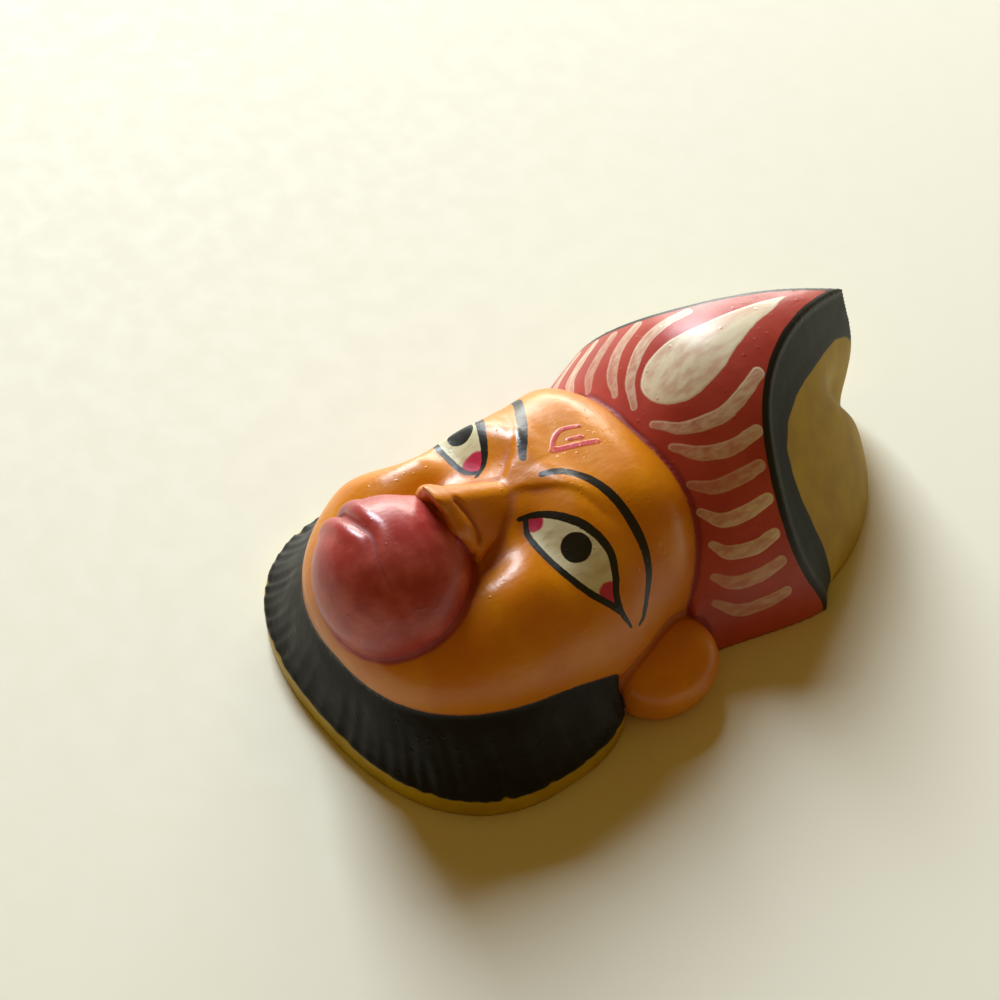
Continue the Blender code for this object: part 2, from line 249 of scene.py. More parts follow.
# The plane that trims the temples and the far ear: its place across and up, the way it faces, how much of
# it is taken near and far, and where it fades out
TEMPLE_PLANE = (25.9, 45.5, 0.834, 0.552)
TEMPLE_SHARE = (0.22, 1.0)
TEMPLE_SOFTNESS = 1.2
TEMPLE_LOW_FADE = (11, 18)
TEMPLE_HAIR_FADE = (8, -11)
TEMPLE_CHEEK_FADE = (-60, -38)
FAR_EAR_FADE = (-39, -42)
BACK_Z = 0.05

# The dips beside the keel of the crown's end, in millimetres: place, depth, half sizes and slant
END_NOTCH = (9.6, 78.0, 17.0)
NOTCH_DEPTH = 5.5
NOTCH_HALF = (4.6, 12, 15)
NOTCH_SLANT = 0.25

# Painted strokes of the crown: how far round the arch, and how far along in millimetres
CROWN_STROKES = [
    [(0.465, 13.4), (0.419, 17.2), (0.394, 22.2), (0.383, 27.0), (0.386, 32.6), (0.399, 39.5)],
    [(0.406, 13.5), (0.364, 17.6), (0.337, 23.7), (0.331, 31.0)],
    [(0.337, 12.1), (0.307, 16.6), (0.294, 22.5), (0.289, 27.6)],
    [(0.291, 11.1), (0.258, 14.6), (0.245, 20.1), (0.243, 26.0)],
    [(0.234, 10.2), (0.206, 13.4), (0.190, 19.4), (0.192, 24.6)],
    [(0.183, 7.6), (0.153, 12.1), (0.143, 18.6), (0.147, 24.4)],
    [(0.135, 6.0), (0.096, 11.7), (0.088, 18.4), (0.091, 24.2)],
]
STROKE_HALF = [1.0, 1.9, 2.05, 1.7]
STROKE_COVER = [1.0, 0.8, 0.6, 1.0, 0.95, 0.65, 0.6]
STROKE_START_COVER = 0.72
STROKE_COVER_GAIN = 0.4
TEARDROP = [
    (-2.7, 64.0), (0.3, 56.0), (1.6, 50.3), (4.9, 39.7), (7.5, 32.2), (7.4, 24.0), (3.6, 18.6),
    (-1.1, 16.7), (-6.2, 17.6), (-9.6, 22.0), (-9.9, 28.0), (-7.0, 37.0), (-4.8, 48.4), (-3.6, 57.0),
]

# Where the rim's green bevel ends on the crown's end: across and along in millimetres
BEVEL_ACROSS = [0.0, 2.4, 5.3, 9.0, 12.6, 16.0, 19.0, 23.8, 28.4, 32.7, 37.0, 41.1, 44.6, 47.2, 53.0]
BEVEL_ALONG = [94.0, 87.0, 79.0, 71.0, 63.5, 56.0, 50.0, 42.5, 38.4, 36.9, 37.2, 38.6, 40.6, 41.6, 43.5]
STRIPE = 1.6
BEVEL_SLOPE = 0.8
UNDER_RIM = -3.0

# Colours of the paint as seen on screen, 0 to 255
ORANGE = (206, 120, 0)
ORANGE_PALE = (214, 134, 0)
# The darker orange of the hollows: paint pooled there, and painted shade
ORANGE_POOLED_AND_SHADED = (160, 74, 1)
MUZZLE_RED = (164, 54, 50)
MUZZLE_PINK = (192, 86, 76)
# The darker red of the muzzle's hollows: paint pooled there, and painted shade
MUZZLE_POOLED_AND_SHADED = (120, 22, 22)
CROWN_RED = (184, 70, 56)
CROWN_RED_DARK = (172, 58, 46)
# The darker red of the crown's hollows and of the face's seam with the crown: pooled paint and painted shade
CROWN_RED_POOLED_AND_SHADED = (120, 18, 16)
BLACK = (15, 16, 12)
BEARD_GREY = (24, 25, 20)
RIM_GREEN = (46, 56, 52)
RIM_GREEN_DARK = (34, 44, 40)
RIM_EDGE = (26, 34, 30)
CREAM = (236, 226, 194)
EYE_WHITE = (212, 206, 168)
EYE_WORN = (196, 182, 138)
ROSE = (190, 42, 78)
TILAK_ROSE = (196, 58, 70)
YELLOW = (186, 156, 0)
YELLOW_DEEP = (170, 138, 0)
WOOD_PALE = (196, 160, 108)
WOOD_DARK = (150, 110, 66)
FLOOR_PAPER = (236, 234, 215)
FLOOR_PAPER_WARM = (236, 234, 214)

# Floor, light and camera, in metres, watts and degrees
FLOOR_SIZE = 4.0
FLOOR_GAP = 0.0001
LIT_POINT = (0, 0, 0.03)
WINDOW_PLACE = (-2.64, 0.84, 2.00)
WINDOW_SIZE = (1.25, 1.6)
WINDOW_POWER = 168
WINDOW_COLOUR = (0.81, 0.90, 0.99)
LOW_PLACE = (-1.90, 1.55, 0.42)
LOW_SIZE = (1.8, 0.6)
LOW_POWER = 46
LOW_COLOUR = (1.0, 0.97, 0.9)
SHADE_COLOUR = (1.0, 0.58, 0.11, 1)
SHADE_STRENGTH = 0.19
AZIMUTH = math.radians(52.3)
ELEVATION = math.radians(50.0)
DISTANCE = 0.576
TARGET = Vector((-0.030, -0.010, 0.0025))
LENS_MM = 75


def smooth(low, high, value):
    """0 below low, 1 above high and an even curve between."""
    t = min(1.0, max(0.0, (value - low) / (high - low)))
    return t * t * (3 - 2 * t)


def mix(a, b, t):
    return a + (b - a) * t


def power(value, exponent):
    return math.copysign(abs(value) ** exponent, value)


def swelling(x, y, form):
    """Height at a plan point of one of the face's swellings, which is the same on both sides."""
    height, at_x, at_y, width, length = form
    return height * math.exp(-(((abs(x) - at_x) / width) ** 2) - ((y - at_y) / length) ** 2)


def finished(name, form):
    mesh = bpy.data.meshes.new(name)
    form.to_mesh(mesh)
    form.free()
    made = bpy.data.objects.new(name, mesh)
    scene.collection.objects.link(made)
    return made


def solid(name, rings):
    """A closed object through rings of as many points each, with a flat face on the first and the last."""
    form = bmesh.new()
    rows = [[form.verts.new(point) for point in ring] for ring in rings]
    for lower, upper in zip(rows, rows[1:]):
        for i in range(len(lower)):
            j = (i + 1) % len(lower)
            form.faces.new((lower[i], lower[j], upper[j], upper[i]))
    form.faces.new(rows[0][::-1])
    form.faces.new(rows[-1])
    bmesh.ops.recalc_face_normals(form, faces=form.faces)
    return finished(name, form)


def ball(name, at, radii, segments, rings):
    """A squashed sphere."""
    form = bmesh.new()
    bmesh.ops.create_uvsphere(form, u_segments=segments, v_segments=rings, radius=1)
    for vert in form.verts:
        vert.co = [at[k] + radii[k] * vert.co[k] for k in range(3)]
    return finished(name, form)


def face_half_width(y):
    """Half the face's width in plan, narrower at the temples than at the jaw."""
    if y < FACE_MIDDLE_Y:
        share = min(1.0, (FACE_MIDDLE_Y - y) / FACE_CHIN)
        return FACE_HALF_WIDTH * (1 - share**FACE_ROUNDNESS) ** (1 / FACE_ROUNDNESS)
    return mix(FACE_HALF_WIDTH, FACE_TEMPLE_WIDTH, smooth(FACE_MIDDLE_Y, TEMPLE_Y, y))


def face_edge(turn):
    """Plan point of the face's edge, a turn of 0 on the near side and 0.25 at the chin."""
    angle = 2 * math.pi * turn
    across = power(math.cos(angle), 2 / FACE_ROUNDNESS)
    along = power(math.sin(angle), 2 / FACE_ROUNDNESS)
    if along > 0:
        return FACE_HALF_WIDTH * across, FACE_MIDDLE_Y - FACE_CHIN * along
    y = FACE_MIDDLE_Y - FACE_FOREHEAD * along
    waist = mix(1, FACE_TEMPLE_WIDTH / FACE_HALF_WIDTH, smooth(FACE_MIDDLE_Y, TEMPLE_Y, y))
    return FACE_HALF_WIDTH * waist * across, y


def edge_height(y):
    return mix(FACE_EDGE_Z, FACE_TEMPLE_Z, smooth(JAW_Y, TEMPLE_Y, y))


def face_top(y):
    """Height of the face's middle line, without the nose and the muzzle."""
    brow = mix(FACE_CHIN_TOP, FACE_BROW_TOP, smooth(MUZZLE_Y, BROW_Y, y))
    return brow - FACE_HAIR_DROP * smooth(FOREHEAD_Y, FOREHEAD_END_Y, y)


def face_relief(x, y):
    """What the carver cut into the dome."""
    carved = (BROW_RIDGE, EYE_SOCKET, CHEEK, NOSE_SIDE, NOSE_BRIDGE)
    return sum(swelling(x, y, form) for form in carved)


def face():
    """The dome of the face, standing on a skirt that the beard and the ears cover."""
    outline = [face_edge(i / FACE_TURNS) for i in range(FACE_TURNS)]
    rings = [[(x, y, -FACE_SKIRT) for x, y in outline]]
    for k in range(FACE_RINGS):
        share = math.cos(math.pi / 2 * k / FACE_RINGS)
        ring = []
        for x, y in outline:
            toward = smooth(TEMPLE_Y, FACE_MIDDLE_Y + FACE_FOREHEAD, y)
            spread, height = (mix(a, b, toward) for a, b in zip(JAW_FULLNESS, CROWN_FULLNESS))
            rise = (1 - share**spread) ** height
            px = x * share
            py = mix(FACE_CROWN_Y, y, share)
            dome = mix(edge_height(y), face_top(py), rise)
            ring.append((px, py, dome + face_relief(px, py) * min(1, 2 * rise)))
        rings.append(ring)
    return solid("face_form", rings)


def beard_edge(share):
    """Plan point of the beard's outer edge, from its near end round the chin to its far end."""
    start = math.asin(((BEARD_END_Y - BEARD_MIDDLE_Y) / BEARD_UPPER) ** (BEARD_ROUNDNESS / 2))
    angle = mix(-start, math.pi + start, share)
    along = power(math.sin(angle), 2 / BEARD_ROUNDNESS)
    half_width = FACE_HALF_WIDTH + BEARD_SIDE_FLARE
    chin = BEARD_MIDDLE_Y - FACE_MIDDLE_Y + FACE_CHIN + BEARD_CHIN_FLARE
    reach = chin if along > 0 else BEARD_UPPER
    return half_width * power(math.cos(angle), 2 / BEARD_ROUNDNESS), BEARD_MIDDLE_Y - reach * along


def beard_root(share):
    """Plan point where the beard meets the face, opposite the same share of its outer edge."""
    start = math.asin(((FACE_MIDDLE_Y - BEARD_END_Y) / FACE_CHIN) ** (FACE_ROUNDNESS / 2))
    turn = mix(start, math.pi - start, share) / (2 * math.pi)
    return face_edge(turn)


def beard():
    """A band that flares out round the jaw, with gouge cuts running down its outer half."""
    count = GROOVE_COUNT * GROOVE_POINTS
    steps = [(0.03, None), (0.0, 0.0), (0.07, 0.03), (0.15, 0.09), (0.25, 0.18), (0.35, 0.28), (0.45, 0.39)]
    steps += [(0.55, 0.5), (0.66, 0.63), (0.78, 0.77), (0.9, 0.9), (0.99, 1.0), (1.25, 1.0)]
    rings = []
    for inward, rise in steps:
        ring = []
        for i in range(count + 1):
            share = i / count
            outer = beard_edge(share)
            root = beard_root(share)
            x = mix(outer[0], root[0], inward)
            y = mix(outer[1], root[1], inward)
            if rise is None:
                ring.append((x, y, -BEARD_SKIRT))
                continue
            z = mix(BEARD_EDGE_Z, edge_height(root[1]) - FACE_STEP, rise)
            number = i // GROOVE_POINTS
            cut = abs(math.sin(math.pi * i / GROOVE_POINTS)) ** 0.8
            own = 0.975 + 0.455 * math.sin(2.3 * number) + 0.26 * math.sin(5.1 * number)
            end = 0.62 + 0.16 * math.sin(1.7 * number)
            ring.append((x, y, z - own * cut * smooth(end + 0.15, end - 0.2, inward) * GROOVE_DEPTH))
        rings.append(ring)
    return solid("beard_form", rings)


def nose():
    """A wedge from between the brows to a blunt tip over the muzzle."""
    rings = []
    for k in range(NOSE_ROWS):
        t = k / (NOSE_ROWS - 1)
        y = mix(NOSE_ROOT_Y, NOSE_TIP_Y, t)
        top = mix(NOSE_ROOT_Z, NOSE_TIP_Z, t)
        foot = mix(NOSE_FOOT_ROOT_Z, NOSE_FOOT_TIP_Z, t)
        shoulder = mix(NOSE_SHOULDER_ROOT_Z, NOSE_SHOULDER_TIP_Z, t)
        half = mix(NOSE_ROOT_HALF_WIDTH, NOSE_HALF_WIDTH, t**0.8)
        back = NOSE_WING_BACK * t
        side = [
            (half, y + back, NOSE_BURIED_Z),
            (half, y + back, foot),
            (0.75 * half, y + 0.7 * back, shoulder),
            (0.25 * half, y, top),
        ]
        rings.append(side + [(-across, along, up) for across, along, up in reversed(side)])
    return solid("nose_form", rings)


def muzzle():
    radii = (MUZZLE_HALF_WIDTH, MUZZLE_HALF_LENGTH, MUZZLE_HALF_DEPTH)
    return ball("muzzle_form", (0, MUZZLE_Y, MUZZLE_Z), radii, 80, 56)


def ear(side):
    radii = (EAR_HALF_WIDTH, EAR_HALF_LENGTH, EAR_HALF_DEPTH)
    return ball(f"ear_form_{side}", (side * EAR_OUT, EAR_Y, EAR_Z), radii, 48, 32)


def lean(y):
    """How far the crown's middle line has wandered to the far side."""
    return -CROWN_LEAN * smooth(HAIRLINE_Y, RIM_TIP_Y, y)


def crown_half_width(y):
    return mix(CROWN_NECK_WIDTH, CROWN_HALF_WIDTH, smooth(CROWN_WAIST_Y, CROWN_WIDE_Y, y))


def crown_height(y):
    """Height of the crown's middle line: low behind the forehead, swelling, lower again at the point."""
    start = CROWN_NECK_Y
    swell = math.sin(math.pi * min(1, max(0, (y - start) / (RIM_TIP_Y - start))))
    return CROWN_HEIGHT + CROWN_SWELL * swell - CROWN_NECK_DROP * (1 - smooth(start, CROWN_FULL_Y, y))


def crown_section(turn, y):
    """Point of the crown's arch, a turn of 0 on the near side at the back and 0.5 over the middle."""
    angle = math.pi * turn
    x = crown_half_width(y) * power(math.cos(angle), 2 / CROWN_ARCH)
    return x, crown_height(y) * math.sin(angle) ** (2 / CROWN_ARCH)


def rim_y(x):
    """Where the crown's front ends, in plan."""
    side = abs(x)
    point = math.exp(-((side / RIM_POINT) ** RIM_SHARPNESS))
    flare = RIM_FLARE * (side / CROWN_HALF_WIDTH) ** RIM_FLARE_POWER
    return RIM_SHOULDER_Y + (RIM_TIP_Y - RIM_SHOULDER_Y) * point + flare


def crown_turns():
    """Turns across the arch, closer together at its middle, where the ogee is sharp."""
    return [0.5 + 0.5 * power(2 * i / CROWN_TURNS - 1, 1.35) for i in range(CROWN_TURNS + 1)]


def rim_point(turn):
    """The point of the ogee on this line of the arch, found by stepping along its own width."""
    y = RIM_SHOULDER_Y
    for _ in range(30):
        y = mix(y, rim_y(crown_section(turn, y)[0]), 0.5)
    x, z = crown_section(turn, y)
    return x, y, z


def end_foot(turn):
    """The point of the crown's rounded end on the back plane, for this line of the arch."""
    even = 2 * turn - 1
    quarter = 1 - abs(even)
    angle = math.pi / 2 * mix(0.06, 1, quarter * mix(0.78, 1, quarter))
    x = END_HALF_WIDTH * math.cos(angle) ** (2 / END_ROUNDNESS)
    y = END_MIDDLE_Y + (END_TIP_Y - END_MIDDLE_Y) * math.sin(angle) ** (2 / END_ROUNDNESS)
    return math.copysign(x, -even), y


def keel(x, drop):
    """How far the end stands out along its middle, at this share of the way down."""
    swell = KEEL_BULGE * math.sin(math.pi * drop**1.4)
    return math.exp(-((abs(x) / KEEL_WIDTH) ** 1.3)) * (KEEL_REACH * drop + swell)


def crown():
    """The flared crown from the hairline to its ogee rim, and its end sloping down to the back."""
    turns = crown_turns()
    rims = [rim_point(turn) for turn in turns]
    rows = []
    for k in range(CROWN_ROWS + 1):
        row = []
        for turn, rim in zip(turns, rims):
            x = crown_section(turn, CROWN_NECK_Y)[0]
            y = mix(HAIRLINE_Y - HAIRLINE_DIP * (x / CROWN_NECK_WIDTH) ** 2, rim[1], k / CROWN_ROWS)
            x, z = crown_section(turn, y)
            row.append((x + lean(y), y, z))
        rows.append(row)
    for k in range(1, END_ROWS + 1):
        drop = k / END_ROWS
        row = []
        for turn, rim in zip(turns, rims):
            foot = end_foot(turn)
            away = math.hypot(foot[0] - rim[0], foot[1] - rim[1])
            bulge = END_BULGE * math.sin(math.pi * drop) * math.sin(math.pi * turn) / away
            reach = 1 - (1 - drop) ** 1.5 + bulge
            x = mix(rim[0], foot[0], reach)
            y = mix(rim[1], foot[1], reach) + keel(x, drop)
            row.append((x + lean(y), y, rim[2] * (1 - drop)))
        rows.append(row)
    rows.insert(0, [(x * 0.93, y - FACE_SKIRT, z * 0.86) for x, y, z in rows[0]])
    form = bmesh.new()
    verts = [[form.verts.new((x, y, z if z > TINY else -CROWN_SKIRT)) for x, y, z in row] for row in rows]
    for lower, upper in zip(verts, verts[1:]):
        for i in range(len(turns) - 1):
            form.faces.new((lower[i], lower[i + 1], upper[i + 1], upper[i]))
    form.faces.new(verts[0])
    form.faces.new([row[0] for row in verts] + verts[-1][1:-1] + [row[-1] for row in reversed(verts)])
    bmesh.ops.recalc_face_normals(form, faces=form.faces)
    return finished("crown_form", form)


def body_section(y):
    """Half width and height of the wood at a place along the mask, for the hollow to keep inside."""
    if y < HAIRLINE_Y:
        return face_half_width(y), mix(face_top(y), edge_height(y), 0.12)
    return crown_half_width(y), crown_height(y)


def hollow():
    """The hollow behind the face, a wall's thickness inside it, open at the back."""
    rings = []
    low = FACE_MIDDLE_Y - FACE_CHIN + WALL
    high = RIM_SHOULDER_Y + WALL
    for k in range(HOLLOW_ROWS + 1):
        across = -math.cos(math.pi * (k + 0.35) / (HOLLOW_ROWS + 0.7))
        y = mix(low, high, 0.5 + 0.5 * across)
        half, height = body_section(y)
        close = (1 - abs(across) ** 2.6) ** 0.45
        wide = 0.88 * (half - WALL) * min(1.0, close * 1.15)
        deep = (height - WALL) * close
        ring = []
        for i in range(HOLLOW_TURNS + 1):
            angle = math.pi * i / HOLLOW_TURNS
            x = wide * power(math.cos(angle), 0.85)
            ring.append((x, y, deep * math.sin(angle) ** 0.95 - HOLLOW_LIFT))
        ring += [(-wide, y, -HOLLOW_SKIRT), (wide, y, -HOLLOW_SKIRT)]
        rings.append(ring)
    return solid("hollow_cutter", rings)


def table():
    """What lies below the back plane, to cut the wood flat."""
    form = bmesh.new()
    bmesh.ops.create_cube(form, size=1)
    half_width = CROWN_HALF_WIDTH + EAR_OUT
    for vert in form.verts:
        vert.co = (vert.co.x * 2 * half_width, vert.co.y * 4 * RIM_TIP_Y, (vert.co.z - 0.5) * CROWN_HEIGHT)
    return finished("back_cutter", form)


def carved():
    """All forms joined, cut flat and hollowed, then remade as one even, fine mesh."""
    whole = face()
    adds = [crown(), beard(), nose(), muzzle(), ear(1), ear(-1)]
    cuts = [table(), hollow()]
    for operation, others in (("UNION", adds), ("DIFFERENCE", cuts)):
        for other in others:
            step = whole.modifiers.new(other.name, "BOOLEAN")
            step.operation = operation
            step.solver = "EXACT"
            step.object = other
    remesh = whole.modifiers.new("remesh", "REMESH")
    remesh.mode = "VOXEL"
    remesh.voxel_size = GRAIN
    made = bpy.data.meshes.new_from_object(whole.evaluated_get(bpy.context.evaluated_depsgraph_get()))
    for used in [whole, *adds, *cuts]:
        bpy.data.objects.remove(used, do_unlink=True)
    return made


def points_of(mesh):
    flat = np.empty(len(mesh.vertices) * 3, np.float32)
    mesh.vertices.foreach_get("co", flat)
    return flat.reshape(-1, 3).astype(float)


def normals_of(mesh):
    flat = np.empty(len(mesh.vertices) * 3, np.float32)
    mesh.vertices.foreach_get("normal", flat)
    return flat.reshape(-1, 3).astype(float)


def placed(mesh, points):
    mesh.vertices.foreach_set("co", points.astype(np.float32).ravel())
    mesh.update()


def edges_of(mesh):
    flat = np.empty(len(mesh.edges) * 2, np.int32)
    mesh.edges.foreach_get("vertices", flat)
    return flat.reshape(-1, 2)


def quads_of(mesh):
    flat = np.empty(len(mesh.polygons) * 4, np.int32)
    mesh.loops.foreach_get("vertex_index", flat)
    return flat.reshape(-1, 4)


def averaged(points, edges):
    """Each point's neighbours' mean."""
    ends = np.concatenate([edges[:, 0], edges[:, 1]])
    others = np.concatenate([edges[:, 1], edges[:, 0]])
    count = np.bincount(ends, minlength=len(points))
    sums = [np.bincount(ends, points[others, k], len(points)) for k in range(points.shape[1])]
    return np.stack(sums, 1) / np.maximum(count, 1)[:, None]


def relaxed(mesh, rounds):
    """Rubs the tool's steps off the surface, as sanding and paint do, and keeps the back flat."""
    points = points_of(mesh)
    edges = edges_of(mesh)
    flat = points[:, 2] < 0.4 * MM
    for _ in range(rounds):
        points += SANDING * (averaged(points, edges) - points)
        points[flat, 2] = 0
        points += SANDING_BACK * (averaged(points, edges) - points)
        points[flat, 2] = 0
    points[:, 2] = np.maximum(points[:, 2], 0)
    placed(mesh, points)


def ease(low, high, values):
    t = np.clip((values - low) / (high - low), 0, 1)
    return t * t * (3 - 2 * t)


def curve_through(controls, values, steps=8):
    """Points and values along a smooth curve through the controls."""
    points = np.array(controls, float)
    values = np.array(values, float)
    padded = np.vstack([2 * points[0] - points[1], points, 2 * points[-1] - points[-2]])
    out, held = [], []
    for i in range(len(points) - 1):
        a, b, c, d = padded[i : i + 4]
        for k in range(steps):
            t = k / steps
            bend = 2 * a - 5 * b + 4 * c - d
            twist = 3 * b - a - 3 * c + d
            out.append(0.5 * (2 * b + (c - a) * t + bend * t**2 + twist * t**3))
            held.append(mix(values[i], values[i + 1], t))
    return np.array(out + [points[-1]]), np.array(held + [values[-1]])


def stroke(points, path, halves):
    """How far inside a painted stroke each point lies, in millimetres, below 0 outside it."""
    best = np.full(len(points), OUTSIDE)
    low, high = path.min(0) - STROKE_MARGIN, path.max(0) + STROKE_MARGIN
    near = np.where((points > low).all(1) & (points < high).all(1))[0]
    some = points[near]
    found = np.full(len(some), OUTSIDE)
    for a, b, ra, rb in zip(path, path[1:], halves, halves[1:]):
        along = b - a
        t = np.clip(((some - a) @ along) / max(along @ along, 1e-9), 0, 1)
        away = np.linalg.norm(some - a - t[:, None] * along, axis=1)
        found = np.maximum(found, ra + (rb - ra) * t - away)
    best[near] = found
    return best


def region(points, outline):
    """How far inside a closed plan outline each point lies, in millimetres, below 0 outside it."""
    outline = np.array(outline, float)
    away = np.full(len(points), -OUTSIDE)
    inside = np.zeros(len(points), bool)
    for a, b in zip(outline, np.roll(outline, -1, 0)):
        along = b - a
        t = np.clip(((points[:, :2] - a) @ along) / (along @ along), 0, 1)
        away = np.minimum(away, np.linalg.norm(points[:, :2] - a - t[:, None] * along, axis=1))
        crosses = (a[1] > points[:, 1]) != (b[1] > points[:, 1])
        slope = along[0] / (along[1] if abs(along[1]) > 1e-9 else 1e-9)
        inside ^= crosses & (points[:, 0] < a[0] + slope * (points[:, 1] - a[1]))
    return np.where(inside, away, -away)


def dropped(tree, path):
    """Plan points in millimetres, set down on the wood."""
    out = []
    for x, y in path:
        hit = tree.ray_cast(Vector((x * MM, y * MM, 0.2)), Vector((0, 0, -1)))[0]
        out.append(np.array(hit) / MM)
    return np.array(out)


def on_crown(path):
    """Turns and millimetres along, as points of the crown."""
    out = []
    for turn, y in path:
        x, z = crown_section(turn, y * MM)
        out.append((x / MM + lean(y * MM) / MM, y, z / MM))
    return np.array(out)


def mirrored(path):
    return [(-x, y) for x, y in path]


def stored(mesh, name, values):
    mesh.attributes.new(name, "FLOAT", "POINT").data.foreach_set("value", np.asarray(values, np.float32))


def nearest_rim(points):
    """Distance in millimetres from the crown's rim."""
    rim = []
    for k in range(RIM_STEPS + 1):
        x, y, z = rim_point(k / RIM_STEPS)
        rim.append(((x + lean(y)) / MM, y / MM, z / MM))
    return -stroke(points, np.array(rim), np.zeros(len(rim)))


def cut_line(points, path, half):
    """1 along a line through the wood, falling to 0 at about twice its half width."""
    away = -stroke(points, path, np.zeros(len(path)))
    return np.exp(-((away / half) ** 2)), away


def rounded_nose(points, edges, near):
    """Sands the nose's sharp edges down, more towards its middle than where it meets the face."""
    share = (ease(*NOSE_SANDED_NEAR, near) * ease(*NOSE_SANDED_Z, points[:, 2]))[:, None]
    for _ in range(NOSE_SANDING_ROUNDS):
        points = points + NOSE_SANDING * share * (averaged(points, edges) - points)
    return points


def knob(mm, side, form):
    """Height of a round swelling on one side, or of a dent where it is below 0."""
    height, radius, (x, y, z) = form
    away = np.linalg.norm(mm - (side * x, y, z), axis=1)
    return height * np.exp(-((away / radius) ** 2))


def mouth_cut(mm, tree):
    """The mouth's line cut into the muzzle, with a lip standing on each side of it."""
    path, depths = curve_through(MOUTH, MOUTH_DEPTH, 4)
    depth = np.interp(mm[:, 0], path[:, 0], depths)
    groove, away = cut_line(mm, dropped(tree, path), MOUTH_HALF - MOUTH_NARROWING * depth)
    lips = LIP_SHARE * np.exp(-(((away - LIP_AWAY) / LIP_HALF) ** 2))
    return depth * (lips - groove)


def wing_cut(mm, side):
    """The knife's line round one wing of the nose."""
    path, _ = curve_through([(side * x, y, z) for x, y, z in WING_CUT], [0] * len(WING_CUT), 5)
    return -WING_DEPTH * cut_line(mm, path, WING_HALF)[0]


def brow_step(mm, tree, side):
    """A low step along one brow, up above the line and down below it."""
    path, _ = curve_through([(side * x, y) for x, y in BROW_CUT], [0] * len(BROW_CUT), 4)
    line = dropped(tree, path)
    out = side * mm[:, 0]
    above = mm[:, 1] - np.interp(out, side * line[:, 0], line[:, 1])
    fade = ease(*BROW_OUTER_FADE, out) * ease(*BROW_INNER_FADE, out)
    return BROW_STEP * fade * cut_line(mm, line, BROW_STEP_HALF)[0] * np.tanh(above / BROW_STEP_TURN)


def eye_swell(mm):
    height, x, y, width, length = EYE_SWELL
    away = ((np.abs(mm[:, 0]) - x) / width) ** 2 + ((mm[:, 1] - y) / length) ** 2
    return height * np.exp(-(away**2))


def end_notch(mm, side):
    """The dip between the keel of the crown's end and one of its shoulders."""
    x, y, z = END_NOTCH
    away = mm - (side * x + lean(y * MM) / MM, y, z)
    away[:, 0] -= side * NOTCH_SLANT * away[:, 2]
    return -NOTCH_DEPTH * np.exp(-((away / NOTCH_HALF) ** 2).sum(1))


def trimmed(mm, moved):
    """The carved points, with the temples and the far ear trimmed back to their plane."""
    at_x, at_z, out, up = TEMPLE_PLANE
    proud = out * (np.abs(mm[:, 0]) - at_x) + up * (mm[:, 2] - at_z)
    proud = 0.5 * (proud + np.sqrt(proud**2 + TEMPLE_SOFTNESS))
    there = np.maximum(ease(*TEMPLE_LOW_FADE, mm[:, 2]), ease(*FAR_EAR_FADE, mm[:, 0]))
    there *= ease(*TEMPLE_HAIR_FADE, mm[:, 1]) * ease(*TEMPLE_CHEEK_FADE, mm[:, 1])
    taken = proud * there * np.where(mm[:, 0] > 0, *TEMPLE_SHARE)
    moved[:, 0] -= np.sign(mm[:, 0]) * out * taken
    moved[:, 2] = np.where(mm[:, 2] < BACK_Z, mm[:, 2], np.maximum(moved[:, 2] - up * taken, BACK_Z))
    return moved


def relief(points, normals, tree):
    """The finer carving: mouth and lips, nose, eyes, brows, the crown's notches and the temples."""
    mm = points / MM
    raised = mouth_cut(mm, tree) + eye_swell(mm)
    for side in (1, -1):
        raised += wing_cut(mm, side) + knob(mm, side, NOSE_BULB) + knob(mm, side, EYE_CORNER)
        raised += brow_step(mm, tree, side) + end_notch(mm, side)
    return trimmed(mm, mm + raised[:, None] * normals) * MM


def linear(red, green, blue):
    """A colour as seen on screen, 0 to 255, as the shader's numbers."""
    out = []
    for value in (red, green, blue):
        c = value / 255
        out.append(c / 12.92 if c <= 0.04045 else ((c + 0.055) / 1.055) ** 2.4)
    return (*out, 1)


